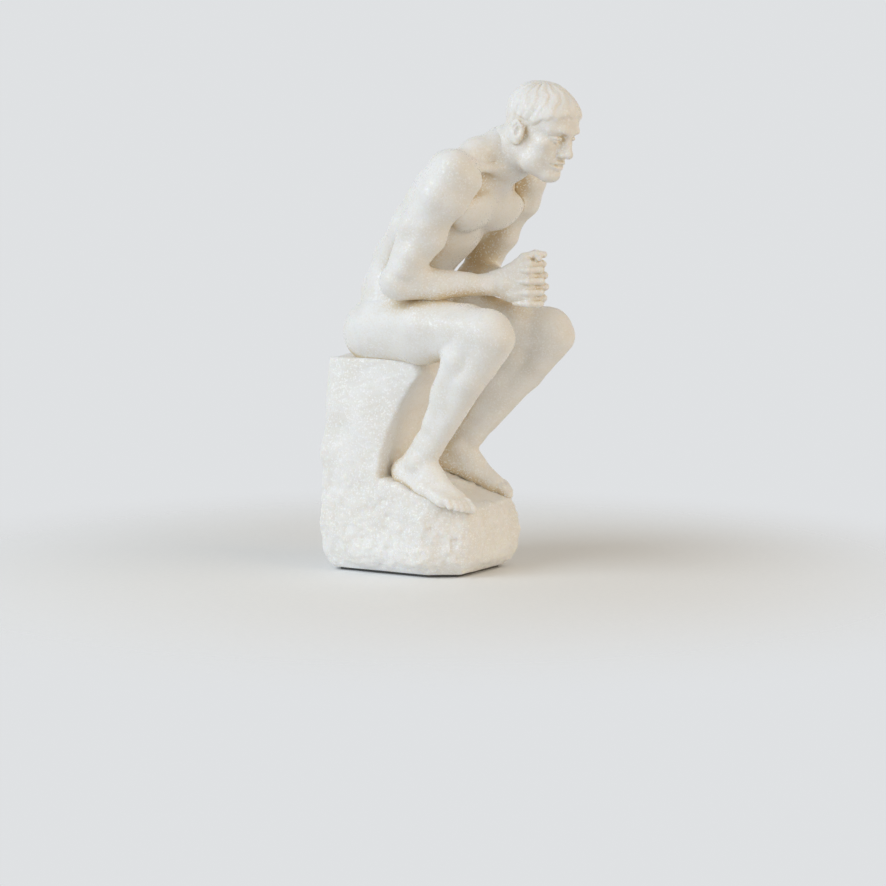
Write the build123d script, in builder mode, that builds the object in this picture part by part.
from build123d import *

import os
from math import cos, radians, sin, sqrt, tan

# Seated figure on a hewn rock: a desk ornament cast in marble resin, in sections that are pinned together.
# Millimetres. +Z is up, the figure faces -Y and its right side is at -X.
# The origin is the middle of the rock's footprint, on the surface that the felt pad stands on.
os.makedirs("parts", exist_ok=True)

RIGHT = -1
LEFT = 1
SIDE_NAMES = {RIGHT: "right", LEFT: "left"}

# Rock
ROCK_WIDTH = 74.0
ROCK_DEPTH = 88.0
SEAT_HEIGHT = 104.0
SEAT_REACH = 20.0
RECESS_REACH = 4.0
RECESS_BOW = 5.0
LEDGE_HEIGHT = 47.0
LEDGE_SLOPE = 18.0
ROCK_TAPER = 2.0
ROCK_WALL = 13.0
ROCK_UNDERCUT = 7.0
FOOTPRINT_SHARES = [
    (-1.00, -0.50),
    (-0.66, -0.94),
    (0.62, -1.00),
    (0.98, -0.66),
    (1.00, 0.34),
    (0.74, 0.95),
    (-0.50, 1.00),
    (-0.96, 0.84),
]
# Hewn faces: a point in shares of half the width, half the depth and the seat's height, and a normal
FACET_SHARES = [
    ((-0.97, -0.10, 0.40), (-1.0, -0.12, 0.16)),
    ((-0.90, -0.80, 0.24), (-0.8, -0.70, 0.30)),
    ((0.95, -0.20, 0.36), (1.0, -0.20, 0.14)),
    ((0.62, 0.94, 0.90), (0.5, 0.80, 0.40)),
    ((-0.66, 0.95, 0.60), (-0.7, 1.00, 0.12)),
    ((0.10, -0.99, 0.24), (0.1, -1.0, 0.42)),
    ((0.72, -0.93, 0.22), (0.9, -0.80, 0.10)),
    ((-0.99, 0.42, 0.22), (-1.0, 0.16, -0.12)),
    ((-0.97, 0.60, 0.62), (-1.0, 0.10, 0.18)),
    ((0.97, 0.44, 0.40), (1.0, 0.30, 0.02)),
    ((0.30, 0.97, 0.34), (0.3, 1.00, -0.10)),
    ((-0.62, -0.95, 0.16), (-0.5, -1.00, -0.06)),
]

# Underside: rebate with its closing plate, ballast and felt pad
PLATE_THICKNESS = 3.0
REBATE_LIP = 9.0
FIT_CLEARANCE = 0.2
BALLAST_HEIGHT = 12.0
FELT_THICKNESS = 1.5
FELT_MARGIN = 10.0

# Hips and legs
HIP_SPAN = 33.0
HIP_RISE = 15.5
HIP_SETBACK = 10.0
THIGH_LENGTH = 67.0
THIGH_RADIUS = 16.4
KNEE_RADIUS = 13.0
SHANK_LENGTH = 77.0
CALF_RADIUS = 12.0
ANKLE_SPAN = 48.0
ANKLE_RISE = 12.5
RIGHT_ANKLE_ADVANCE = 10.0
LEFT_ANKLE_ADVANCE = 5.0
KNEE_POLE_SHARES = (0.22, -1.0, 0.4)
THIGH_SHARES = [
    (0.00, 1.00, 1.06, 0.00),
    (0.25, 1.02, 1.08, 0.03),
    (0.50, 0.95, 1.00, 0.06),
    (0.78, 0.80, 0.83, 0.04),
    (1.00, 0.70, 0.71, 0.00),
]
SHANK_SHARES = [
    (0.00, 0.94, 0.95, 0.00),
    (0.14, 0.95, 1.00, -0.04),
    (0.32, 1.00, 1.10, -0.16),
    (0.52, 0.86, 0.94, -0.14),
    (0.74, 0.62, 0.68, -0.02),
    (0.90, 0.53, 0.62, 0.02),
    (1.00, 0.54, 0.68, 0.00),
]

# Feet
FOOT_LENGTH = 46.0
FOOT_TURNOUT = 8.0
TOE_RADIUS = 2.7
FOOT_SHARES = [
    (-0.270, 0.070, 0.110),
    (-0.235, 0.110, 0.200),
    (-0.120, 0.130, 0.290),
    (0.060, 0.130, 0.300),
    (0.240, 0.148, 0.230),
    (0.420, 0.178, 0.150),
    (0.560, 0.188, 0.110),
    (0.640, 0.172, 0.085),
]
# Toes from the big one: place across and along the foot, and size
TOE_SHARES = [
    (0.118, 0.660, 1.25),
    (0.046, 0.672, 0.98),
    (-0.018, 0.656, 0.94),
    (-0.078, 0.632, 0.90),
    (-0.132, 0.600, 0.86),
]

# Trunk
SHOULDER_SPAN = 74.0
SHOULDER_RISE = 72.0
SHOULDER_LEAN = 48.0
TRUNK_BREADTH = 60.0
TRUNK_THICKNESS = 40.0
BUTTOCK_RADIUS = 17.0
BUTTOCK_SETBACK = 5.0
# Sections from the seat to the neck: lean, rise, tilt in degrees, half width, front and back depth
TRUNK_SHARES = [
    (-0.04, -0.26, 0, 0.80, 0.70, 0.86),
    (-0.02, 0.02, 4, 1.00, 0.82, 0.98),
    (0.00, 0.22, 10, 0.94, 0.90, 0.88),
    (0.08, 0.42, 22, 0.88, 0.96, 0.77),
    (0.34, 0.64, 34, 1.06, 1.02, 0.86),
    (0.68, 0.86, 40, 1.14, 1.04, 0.88),
    (0.98, 1.03, 42, 1.14, 0.52, 0.66),
    (1.14, 1.13, 42, 0.84, 0.50, 0.60),
    (1.26, 1.20, 42, 0.48, 0.52, 0.58),
]
TRUNK_OUTLINE_SHARES = [
    (0.00, 0.84),
    (0.28, 1.00),
    (0.54, 0.80),
    (0.80, 0.50),
    (1.00, 0.00),
    (0.84, -0.66),
    (0.44, -1.00),
    (0.00, -0.95),
    (-0.44, -1.00),
    (-0.84, -0.66),
    (-1.00, 0.00),
    (-0.80, 0.50),
    (-0.54, 0.80),
    (-0.28, 1.00),
]
# Shoulder blades: their ends in shares of the shoulder's span, lean and rise, and their swell
BLADE_RADIUS = 10.0
BLADE_FOOT_SHARES = (0.25, 0.40, 0.80)
BLADE_TOP_SHARES = (0.27, 0.80, 1.06)
BLADE_SHARES = [
    (0.00, 0.44, 0.24, 0.00),
    (0.30, 0.90, 0.54, 0.00),
    (0.60, 1.00, 0.62, 0.00),
    (0.85, 0.80, 0.50, 0.00),
    (1.00, 0.44, 0.22, 0.00),
]

# Arms
UPPER_ARM_LENGTH = 58.0
UPPER_ARM_RADIUS = 10.2
DELTOID_RADIUS = 12.6
ELBOW_RADIUS = 8.7
FOREARM_LENGTH = 47.0
FOREARM_RADIUS = 8.6
ELBOW_POLE_SHARES = (0.62, 1.0, -0.2)
UPPER_ARM_SHARES = [
    (0.00, 1.12, 1.14, 0.00),
    (0.30, 1.02, 1.12, -0.02),
    (0.56, 0.92, 1.06, -0.05),
    (0.80, 0.82, 0.90, -0.02),
    (1.00, 0.74, 0.75, 0.00),
]
FOREARM_SHARES = [
    (0.00, 0.87, 0.88, 0.00),
    (0.22, 1.00, 1.02, 0.00),
    (0.50, 0.88, 0.90, 0.00),
    (0.78, 0.60, 0.70, 0.00),
    (1.00, 0.53, 0.66, 0.00),
]

# Clasped hands, with the palms upright and facing each other
CLASP_ADVANCE = 4.0
CLASP_RISE = 23.0
WRIST_SPAN = 22.0
WRIST_SETBACK = 12.0
KNUCKLE_SPAN = 11.0
KNUCKLE_ADVANCE = 4.0
PALM_BREADTH = 19.0
PALM_THICKNESS = 7.6
FINGER_RADIUS = 1.7
FINGER_PITCH = 2.7
FINGER_COUNT = 4
FINGER_BEND = 2.6
THUMB_RADIUS = 2.0
PALM_SHARES = [(0.40, 0.88, 0.98), (0.75, 1.00, 1.00), (1.00, 0.96, 0.86)]
# Finger from its knuckle to its tip: across in knuckle spans, along in knuckle advances
FINGER_SHARES = [(0.40, 0.80), (-0.26, 2.35), (-0.82, 1.15), (-0.90, -0.95)]
# Thumb: across in knuckle spans, along in knuckle advances, up in palm breadths
THUMB_SHARES = [(0.72, -1.20, 0.36), (0.28, 0.50, 0.72), (-0.22, 1.90, 0.76)]

# Head and neck
HEAD_HEIGHT = 42.0
HEAD_BREADTH = 28.0
HEAD_DEPTH = 37.0
HEAD_ADVANCE = 28.0
HEAD_RISE = 23.0
HEAD_BOW = 22.0
HEAD_TURN = -8.0
NECK_RADIUS = 11.0
HAIR_THICKNESS = 1.0
NOSE_LENGTH = 11.0
NOSE_WIDTH = 6.4
NOSE_PROUD = 4.4
NOSE_TAPER = 24.0
EAR_HEIGHT = 10.5
EAR_WIDTH = 6.0
EAR_PROUD = 1.6
EAR_SLANT = 10.0
EYE_RADIUS = 3.0
EYE_SPAN = 12.0
SOCKET_RADIUS = 4.0
LIP_RADIUS = 1.3
MOUTH_WIDTH = 10.0
# Level slices from chin to crown: rise, half width, front and back depth
HEAD_SHARES = [
    (-0.50, 0.34, 0.76, -0.34),
    (-0.45, 0.52, 0.86, -0.10),
    (-0.37, 0.66, 0.88, 0.12),
    (-0.27, 0.78, 0.87, 0.36),
    (-0.15, 0.87, 0.88, 0.72),
    (0.00, 0.94, 0.88, 0.96),
    (0.10, 0.98, 0.94, 1.00),
    (0.22, 0.98, 0.90, 1.00),
    (0.34, 0.88, 0.72, 0.88),
    (0.44, 0.62, 0.44, 0.60),
    (0.49, 0.30, 0.18, 0.30),
]
# Places on the face and the sides of the head, in shares of its height and half its depth
EYE_RISE_SHARE = 0.0
EYE_DEPTH_SHARE = 0.62
SOCKET_DEPTH_SHARE = 0.91
NOSE_RISE_SHARE = -0.20
NOSE_DEPTH_SHARE = 0.80
UPPER_LIP_SHARE = -0.285
LOWER_LIP_SHARE = -0.335
LIP_DEPTH_SHARE = 0.86
EAR_RISE_SHARE = -0.08
HAIRLINE_FRONT_SHARE = 0.26
HAIRLINE_BACK_SHARE = -0.20

# Pins and their sockets
PIN_RADIUS = 2.0
PIN_REACH = 8.0
WRIST_PIN_RADIUS = 1.2
WRIST_PIN_REACH = 5.0
PIN_CLEARANCE = 0.1

OVAL_STEPS = 8
OVAL_SHARES = [(cos(radians(360 * n / OVAL_STEPS)), sin(radians(360 * n / OVAL_STEPS))) for n in range(OVAL_STEPS)]


def middle_joint(start, end, first, second, pole):
    """The joint between two straight bones that run from start to end, bent towards pole."""
    base = (end - start).normalized()
    span = (end - start).length
    along = (first**2 + span**2 - second**2) / (2 * span)
    rise = sqrt(first**2 - along**2)
    sideways = (pole - base * pole.dot(base)).normalized()
    return start + base * along + sideways * rise


def ledge_height(y):
    """Height of the foot ledge at a place in front of (negative) or behind the rock's middle."""
    return LEDGE_HEIGHT + (y - RECESS_REACH) * tan(radians(LEDGE_SLOPE))


def oval(half_width, half_depth):
    """A closed smooth oval that starts on its plane's X axis, whatever its proportions."""
    with BuildLine() as rim:
        Spline(*[(half_width * x, half_depth * y) for x, y in OVAL_SHARES], periodic=True)
    make_face(rim.line)


def limb_segment(start, end, hinge, radius, shares):
    """Loft one bone's flesh through ovals, which bulge away from the inside of the bend."""
    axis = (end - start).normalized()
    outward = axis.cross(hinge)
    sections = []
    for along, width, depth, bulge in shares:
        centre = start + (end - start) * along + outward * bulge * radius
        with BuildSketch(Plane(centre, x_dir=hinge, z_dir=axis)) as section:
            oval(width * radius, depth * radius)
        sections.append(section.sketch)
    loft(sections)


def drill(joint_plane, radius, reach):
    """Cut the socket for a pin that has its middle on the joint plane."""
    with Locations(joint_plane):
        Cylinder(radius + PIN_CLEARANCE, 2 * (reach + PIN_CLEARANCE), mode=Mode.SUBTRACT)


def pin(joint_plane, radius, reach):
    """A dowel with its middle on the joint plane."""
    with Locations(joint_plane):
        Cylinder(radius, 2 * reach)


def keep_largest(builder):
    """Drop the slivers that a cut has left beside a piece."""
    add(builder.solids().sort_by(SortBy.VOLUME)[-1], mode=Mode.REPLACE)


def write(part, name):
    """Name a finished piece and write its file."""
    part.label = name
    export_step(part, f"parts/{name}.step")


# The skeleton: places of the joints, from the bones' lengths
rock_bottom = FELT_THICKNESS
back = ROCK_DEPTH / 2
flank = ROCK_WIDTH / 2
ledge_normal = Vector(0, -sin(radians(LEDGE_SLOPE)), cos(radians(LEDGE_SLOPE)))
ankle_advance = {RIGHT: RIGHT_ANKLE_ADVANCE, LEFT: LEFT_ANKLE_ADVANCE}
hip_height = SEAT_HEIGHT + HIP_RISE
shoulder_middle = Vector(0, HIP_SETBACK - SHOULDER_LEAN, hip_height + SHOULDER_RISE)
head_centre = shoulder_middle + Vector(0, -HEAD_ADVANCE, HEAD_RISE)
hip = {side: Vector(side * HIP_SPAN / 2, HIP_SETBACK, hip_height) for side in SIDE_NAMES}
shoulder = {side: shoulder_middle + Vector(side * SHOULDER_SPAN / 2, 0, 0) for side in SIDE_NAMES}

sole, ankle, knee, wrist, elbow = {}, {}, {}, {}, {}
for side in SIDE_NAMES:
    ankle_y = -ankle_advance[side]
    sole[side] = Vector(side * ANKLE_SPAN / 2, ankle_y, ledge_height(ankle_y))
    ankle[side] = sole[side] + ledge_normal * ANKLE_RISE
    across, forward, upward = KNEE_POLE_SHARES
    knee_pole = Vector(side * across, forward, upward)
    knee[side] = middle_joint(hip[side], ankle[side], THIGH_LENGTH, SHANK_LENGTH, knee_pole)

knee_middle = (knee[RIGHT] + knee[LEFT]) / 2
clasp = Vector(0, knee_middle.Y - CLASP_ADVANCE, knee_middle.Z + CLASP_RISE)
for side in SIDE_NAMES:
    wrist[side] = clasp + Vector(side * WRIST_SPAN / 2, WRIST_SETBACK, 0)
    across, backward, upward = ELBOW_POLE_SHARES
    elbow_pole = Vector(side * across, backward, upward)
    elbow[side] = middle_joint(shoulder[side], wrist[side], UPPER_ARM_LENGTH, FOREARM_LENGTH, elbow_pole)

head_up = Vector(0, -sin(radians(HEAD_BOW)), cos(radians(HEAD_BOW)))
head_plane = Plane(head_centre, x_dir=(1, 0, 0), z_dir=head_up).rotated((0, 0, HEAD_TURN))
neck_foot = shoulder_middle + Vector(0, -HEAD_ADVANCE / 4, HEAD_RISE / 4)
neck_axis = (head_centre - neck_foot).normalized()

# Joint planes, one for each pin, with the pin along the normal
neck_plane = Plane(neck_foot + neck_axis * NECK_RADIUS, z_dir=neck_axis)
seat_planes, hip_planes, shoulder_planes, wrist_planes, sole_planes = {}, {}, {}, {}, {}
for side in SIDE_NAMES:
    thigh_axis = (knee[side] - hip[side]).normalized()
    forearm_axis = (wrist[side] - elbow[side]).normalized()
    seat_planes[side] = Plane((side * HIP_SPAN / 3, HIP_SETBACK, SEAT_HEIGHT))
    hip_planes[side] = Plane(hip[side] + thigh_axis * THIGH_RADIUS, z_dir=thigh_axis)
    shoulder_planes[side] = Plane(shoulder[side] - Vector(side * DELTOID_RADIUS / 2, 0, 0), z_dir=(side, 0, 0))
    wrist_planes[side] = Plane(wrist[side], z_dir=forearm_axis)
    sole_planes[side] = Plane(sole[side], z_dir=ledge_normal)


# Rock: its side profile crossed with a tapering footprint, then hewn, with a pocket for the ballast
def footprint(inset):
    """The rock's footprint on the current sketch plane, drawn in by an even inset."""
    with BuildLine() as rim:
        Polyline(*[(x * flank, y * back) for x, y in FOOTPRINT_SHARES], close=True)
    make_face(rim.line)
    if inset:
        offset(amount=-inset, mode=Mode.REPLACE)


plate_top = rock_bottom + PLATE_THICKNESS

with BuildPart() as rock_base:
    with BuildSketch(Plane.YZ):
        with BuildLine():
            seat_edge = (-SEAT_REACH, SEAT_HEIGHT)
            recess_foot = (RECESS_REACH, LEDGE_HEIGHT)
            Polyline(
                recess_foot,
                (-back, ledge_height(-back)),
                (-back, rock_bottom),
                (back, rock_bottom),
                (back, SEAT_HEIGHT),
                seat_edge,
            )
            SagittaArc(seat_edge, recess_foot, RECESS_BOW)
        make_face()
    extrude(amount=flank, both=True)
    with BuildSketch(Plane.XY.offset(rock_bottom)):
        footprint(0)
    extrude(amount=SEAT_HEIGHT, taper=ROCK_TAPER, mode=Mode.INTERSECT)
    chamfer(faces().sort_by(Axis.Z)[0].edges(), length=ROCK_UNDERCUT)
    for (x, y, z), normal in FACET_SHARES:
        split(bisect_by=Plane((x * flank, y * back, z * SEAT_HEIGHT), z_dir=normal), keep=Keep.BOTTOM)
    with BuildSketch(Plane.XY.offset(rock_bottom)):
        footprint(REBATE_LIP)
    extrude(amount=PLATE_THICKNESS, mode=Mode.SUBTRACT)
    with BuildSketch(Plane.XY.offset(plate_top)):
        footprint(ROCK_WALL)
    extrude(amount=BALLAST_HEIGHT, mode=Mode.SUBTRACT)
    for side in SIDE_NAMES:
        drill(seat_planes[side], PIN_RADIUS, PIN_REACH)
        drill(sole_planes[side], PIN_RADIUS, PIN_REACH)

with BuildPart() as closing_plate:
    with BuildSketch(Plane.XY.offset(rock_bottom)):
        footprint(REBATE_LIP + FIT_CLEARANCE)
    extrude(amount=PLATE_THICKNESS)

with BuildPart() as ballast:
    with BuildSketch(Plane.XY.offset(plate_top)):
        footprint(ROCK_WALL + FIT_CLEARANCE)
    extrude(amount=BALLAST_HEIGHT)

with BuildPart() as felt_pad:
    with BuildSketch():
        footprint(FELT_MARGIN)
    extrude(amount=FELT_THICKNESS)

# Trunk: a loft up the bent spine, with the buttocks, cut flat where it sits
with BuildPart() as torso:
    for lean, rise, tilt, width, front, rear in TRUNK_SHARES:
        centre = Vector(0, HIP_SETBACK - lean * SHOULDER_LEAN, hip_height + rise * SHOULDER_RISE)
        spine = (0, -sin(radians(tilt)), cos(radians(tilt)))
        outline = []
        for x, y in TRUNK_OUTLINE_SHARES:
            depth = rear if y > 0 else front
            outline.append((x * width * TRUNK_BREADTH / 2, y * depth * TRUNK_THICKNESS / 2))
        with BuildSketch(Plane(centre, x_dir=(1, 0, 0), z_dir=spine)):
            with BuildLine():
                Spline(*outline, periodic=True)
            make_face()
    loft()
    for side in SIDE_NAMES:
        blade_ends = []
        for across, lean, rise in (BLADE_FOOT_SHARES, BLADE_TOP_SHARES):
            spine_place = Vector(0, HIP_SETBACK - lean * SHOULDER_LEAN, hip_height + rise * SHOULDER_RISE)
            blade_ends.append(spine_place + Vector(side * across * SHOULDER_SPAN, 0, 0))
        limb_segment(*blade_ends, Vector(1, 0, 0), BLADE_RADIUS, BLADE_SHARES)
    with Locations(*[hip[side] + Vector(0, BUTTOCK_SETBACK, 0) for side in SIDE_NAMES]):
        Sphere(BUTTOCK_RADIUS)
    split(bisect_by=Plane.XY.offset(SEAT_HEIGHT), keep=Keep.TOP)
    drill(neck_plane, PIN_RADIUS, PIN_REACH)
    for side in SIDE_NAMES:
        drill(seat_planes[side], PIN_RADIUS, PIN_REACH)
        drill(hip_planes[side], PIN_RADIUS, PIN_REACH)
        drill(shoulder_planes[side], PIN_RADIUS, PIN_REACH)

# Legs: thigh, knee and shank, with the foot lofted from heel to toes
legs = {}
for side in SIDE_NAMES:
    thigh_axis = (knee[side] - hip[side]).normalized()
    shank_axis = (ankle[side] - knee[side]).normalized()
    hinge = thigh_axis.cross(shank_axis).normalized()
    foot_plane = Plane(sole[side], x_dir=(1, 0, 0), z_dir=ledge_normal).rotated((0, 0, side * FOOT_TURNOUT))
    with BuildPart() as leg:
        limb_segment(hip[side], knee[side], hinge, THIGH_RADIUS, THIGH_SHARES)
        limb_segment(knee[side], ankle[side], hinge, CALF_RADIUS, SHANK_SHARES)
        with Locations(knee[side]):
            Sphere(KNEE_RADIUS)
        foot_sections = []
        for along, half_width, height in FOOT_SHARES:
            centre = foot_plane.from_local_coords((0, -along * FOOT_LENGTH, 0))
            with BuildSketch(Plane(centre, x_dir=foot_plane.x_dir, z_dir=-foot_plane.y_dir)) as foot_section:
                oval(half_width * FOOT_LENGTH, height * FOOT_LENGTH)
            foot_sections.append(foot_section.sketch)
        loft(foot_sections)
        for across, along, size in TOE_SHARES:
            with Locations(foot_plane.from_local_coords((-side * across * FOOT_LENGTH, -along * FOOT_LENGTH, 0))):
                Sphere(size * TOE_RADIUS)
        split(bisect_by=Plane(sole[side], z_dir=ledge_normal), keep=Keep.TOP)
        add(torso.part, mode=Mode.SUBTRACT)
        add(rock_base.part, mode=Mode.SUBTRACT)
        drill(hip_planes[side], PIN_RADIUS, PIN_REACH)
        drill(sole_planes[side], PIN_RADIUS, PIN_REACH)
        keep_largest(leg)
    legs[side] = leg

# Arms: upper arm, elbow and forearm under the shoulder's cap, cut off square at the wrist
arms = {}
wrist_sections = {}
for side in SIDE_NAMES:
    upper_axis = (elbow[side] - shoulder[side]).normalized()
    forearm_axis = (wrist[side] - elbow[side]).normalized()
    hinge = upper_axis.cross(forearm_axis).normalized()
    with BuildPart() as arm:
        limb_segment(shoulder[side], elbow[side], hinge, UPPER_ARM_RADIUS, UPPER_ARM_SHARES)
        limb_segment(elbow[side], wrist[side], hinge, FOREARM_RADIUS, FOREARM_SHARES)
        with Locations(elbow[side]):
            Sphere(ELBOW_RADIUS)
        with Locations(shoulder[side]):
            Sphere(DELTOID_RADIUS)
        add(torso.part, mode=Mode.SUBTRACT)
        add(legs[side].part, mode=Mode.SUBTRACT)
        drill(shoulder_planes[side], PIN_RADIUS, PIN_REACH)
        drill(wrist_planes[side], WRIST_PIN_RADIUS, WRIST_PIN_REACH)
        keep_largest(arm)
    arms[side] = arm
    _, wrist_width, wrist_depth, _ = FOREARM_SHARES[-1]
    with BuildSketch(Plane(wrist[side], x_dir=hinge, z_dir=forearm_axis)) as wrist_section:
        oval(wrist_width * FOREARM_RADIUS, wrist_depth * FOREARM_RADIUS)
    wrist_sections[side] = wrist_section.sketch

# Clasped hands: two palms from the wrists, and eight fingers laced from top to bottom
with BuildPart() as clasped_hands:
    for side in SIDE_NAMES:
        knuckles = clasp + Vector(side * KNUCKLE_SPAN / 2, -KNUCKLE_ADVANCE, 0)
        palm_axis = (knuckles - wrist[side]).normalized()
        upper_axis = (elbow[side] - shoulder[side]).normalized()
        forearm_axis = (wrist[side] - elbow[side]).normalized()
        palm_hinge = Vector(0, 0, 1).cross(palm_axis).normalized()
        if palm_hinge.dot(upper_axis.cross(forearm_axis)) < 0:
            palm_hinge = -palm_hinge
        palm_sections = [wrist_sections[side]]
        for along, breadth, thickness in PALM_SHARES:
            centre = wrist[side] + (knuckles - wrist[side]) * along
            with BuildSketch(Plane(centre, x_dir=palm_hinge, z_dir=palm_axis)) as palm_section:
                oval(thickness * PALM_THICKNESS / 2, breadth * PALM_BREADTH / 2)
            palm_sections.append(palm_section.sketch)
        loft(palm_sections)
        for number in range(FINGER_COUNT):
            row = 2 * number + (0 if side == RIGHT else 1)
            level = (FINGER_COUNT - row) * FINGER_PITCH - FINGER_PITCH / 2
            places = []
            for across, along in FINGER_SHARES:
                places.append(clasp + Vector(side * across * KNUCKLE_SPAN, -along * KNUCKLE_ADVANCE, level))
            with BuildLine() as finger_path:
                FilletPolyline(*places, radius=FINGER_BEND)
            with BuildSketch(Plane(places[0], z_dir=places[1] - places[0])) as finger_section:
                Circle(FINGER_RADIUS)
            sweep(finger_section.sketch, path=finger_path.line)
            with Locations(places[-1]):
                Sphere(FINGER_RADIUS)
        thumb_places = []
        for across, along, upward in THUMB_SHARES:
            thumb_height = upward * PALM_BREADTH - side * THUMB_RADIUS / 2
            thumb_places.append(clasp + Vector(side * across * KNUCKLE_SPAN, -along * KNUCKLE_ADVANCE, thumb_height))
        with BuildLine() as thumb_path:
            FilletPolyline(*thumb_places, radius=FINGER_BEND)
        with BuildSketch(Plane(thumb_places[0], z_dir=thumb_places[1] - thumb_places[0])) as thumb_section:
            Circle(THUMB_RADIUS)
        sweep(thumb_section.sketch, path=thumb_path.line)
        with Locations(thumb_places[0], thumb_places[-1]):
            Sphere(THUMB_RADIUS)
    for side in SIDE_NAMES:
        add(legs[side].part, mode=Mode.SUBTRACT)
        add(arms[side].part, mode=Mode.SUBTRACT)
        drill(wrist_planes[side], WRIST_PIN_RADIUS, WRIST_PIN_REACH)


# Head: level slices from chin to crown, with the hair as a cap that is a little proud of them
def head_slices(swell):
    """Loft the head's level slices, swollen evenly by an amount."""
    slices = []
    for rise, width, front, rear in HEAD_SHARES:
        middle = (rear - front) * HEAD_DEPTH / 4
        half_depth = (rear + front) * HEAD_DEPTH / 4 + swell
        with BuildSketch(head_plane.offset(rise * (HEAD_HEIGHT + swell))) as level_slice:
            with Locations((0, middle)):
                oval(width * HEAD_BREADTH / 2 + swell, half_depth)
        slices.append(level_slice.sketch)
    loft(slices)


with BuildPart() as hair:
    head_slices(HAIR_THICKNESS)
    front_place = head_plane.from_local_coords((0, -HEAD_DEPTH / 2, HAIRLINE_FRONT_SHARE * HEAD_HEIGHT))
    back_place = head_plane.from_local_coords((0, HEAD_DEPTH / 2, HAIRLINE_BACK_SHARE * HEAD_HEIGHT))
    hairline = head_plane.x_dir.cross(back_place - front_place)
    split(bisect_by=Plane(front_place, z_dir=hairline), keep=Keep.TOP)

with BuildPart() as head:
    head_slices(0)
    add(hair.part)
    neck_top = head_plane.from_local_coords((0, HEAD_DEPTH / 8, -HEAD_HEIGHT / 6))
    neck_run = neck_top - neck_foot
    with Locations(Plane((neck_top + neck_foot) / 2, z_dir=neck_run)):
        Cylinder(NECK_RADIUS, neck_run.length)
    for side in SIDE_NAMES:
        eye_across = side * EYE_SPAN / 2
        eye_level = EYE_RISE_SHARE * HEAD_HEIGHT
        socket_place = (eye_across, -SOCKET_DEPTH_SHARE * HEAD_DEPTH / 2, eye_level)
        eye_place = (eye_across, -EYE_DEPTH_SHARE * HEAD_DEPTH / 2, eye_level)
        with Locations(head_plane.from_local_coords(socket_place)):
            Sphere(SOCKET_RADIUS, mode=Mode.SUBTRACT)
        with Locations(head_plane.from_local_coords(eye_place)):
            Sphere(EYE_RADIUS)
        ear_place = head_plane.from_local_coords((0, 0, EAR_RISE_SHARE * HEAD_HEIGHT))
        ear_up = head_plane.z_dir.rotate(Axis((0, 0, 0), head_plane.x_dir), -EAR_SLANT)
        with BuildSketch(Plane(ear_place, x_dir=ear_up, z_dir=head_plane.x_dir * side)) as ear:
            oval(EAR_HEIGHT / 2, EAR_WIDTH / 2)
        extrude(ear.sketch, amount=HEAD_BREADTH / 2 + EAR_PROUD)
    nose_base = NOSE_RISE_SHARE * HEAD_HEIGHT
    face_front = NOSE_DEPTH_SHARE * HEAD_DEPTH / 2
    with BuildSketch(Plane(head_centre, x_dir=-head_plane.y_dir, z_dir=-head_plane.x_dir)) as nose:
        with BuildLine():
            Polyline(
                (face_front, nose_base + NOSE_LENGTH),
                (face_front + NOSE_PROUD, nose_base + NOSE_LENGTH / 6),
                (face_front + NOSE_PROUD / 2, nose_base),
                (face_front - NOSE_PROUD, nose_base),
                (face_front - NOSE_PROUD, nose_base + NOSE_LENGTH),
                close=True,
            )
        make_face()
    extrude(nose.sketch, amount=NOSE_WIDTH / 2, both=True, taper=NOSE_TAPER)
    for lip_share in (UPPER_LIP_SHARE, LOWER_LIP_SHARE):
        lip_front = -LIP_DEPTH_SHARE * HEAD_DEPTH / 2
        lip_places = []
        for across, inward in ((-1, LIP_RADIUS), (0, 0), (1, LIP_RADIUS)):
            lip_place = (across * MOUTH_WIDTH / 2, lip_front + inward, lip_share * HEAD_HEIGHT)
            lip_places.append(head_plane.from_local_coords(lip_place))
        with BuildLine() as lip_path:
            ThreePointArc(*lip_places)
        with BuildSketch(Plane(lip_places[0], z_dir=lip_path.line % 0)) as lip_section:
            Circle(LIP_RADIUS)
        sweep(lip_section.sketch, path=lip_path.line)
    add(torso.part, mode=Mode.SUBTRACT)
    drill(neck_plane, PIN_RADIUS, PIN_REACH)
    keep_largest(head)

# Dowels: one in the neck, and a pair at the shoulders, wrists, hips, seat and soles
with BuildPart() as neck_pin:
    pin(neck_plane, PIN_RADIUS, PIN_REACH)

pin_sets = {
    "shoulder_pins": (shoulder_planes, PIN_RADIUS, PIN_REACH),
    "wrist_pins": (wrist_planes, WRIST_PIN_RADIUS, WRIST_PIN_REACH),
    "hip_pins": (hip_planes, PIN_RADIUS, PIN_REACH),
    "seat_pins": (seat_planes, PIN_RADIUS, PIN_REACH),
    "sole_pins": (sole_planes, PIN_RADIUS, PIN_REACH),
}
pieces = {
    "rock_base": rock_base.part,
    "closing_plate": closing_plate.part,
    "ballast": ballast.part,
    "felt_pad": felt_pad.part,
    "torso": torso.part,
    "head": head.part,
    "clasped_hands": clasped_hands.part,
    "neck_pin": neck_pin.part,
}
for side, side_name in SIDE_NAMES.items():
    pieces[side_name + "_leg"] = legs[side].part
    pieces[side_name + "_arm"] = arms[side].part
for name, (joint_planes, radius, reach) in pin_sets.items():
    with BuildPart() as pair:
        for side in SIDE_NAMES:
            pin(joint_planes[side], radius, reach)
    pieces[name] = pair.part
for name, part in pieces.items():
    write(part, name)
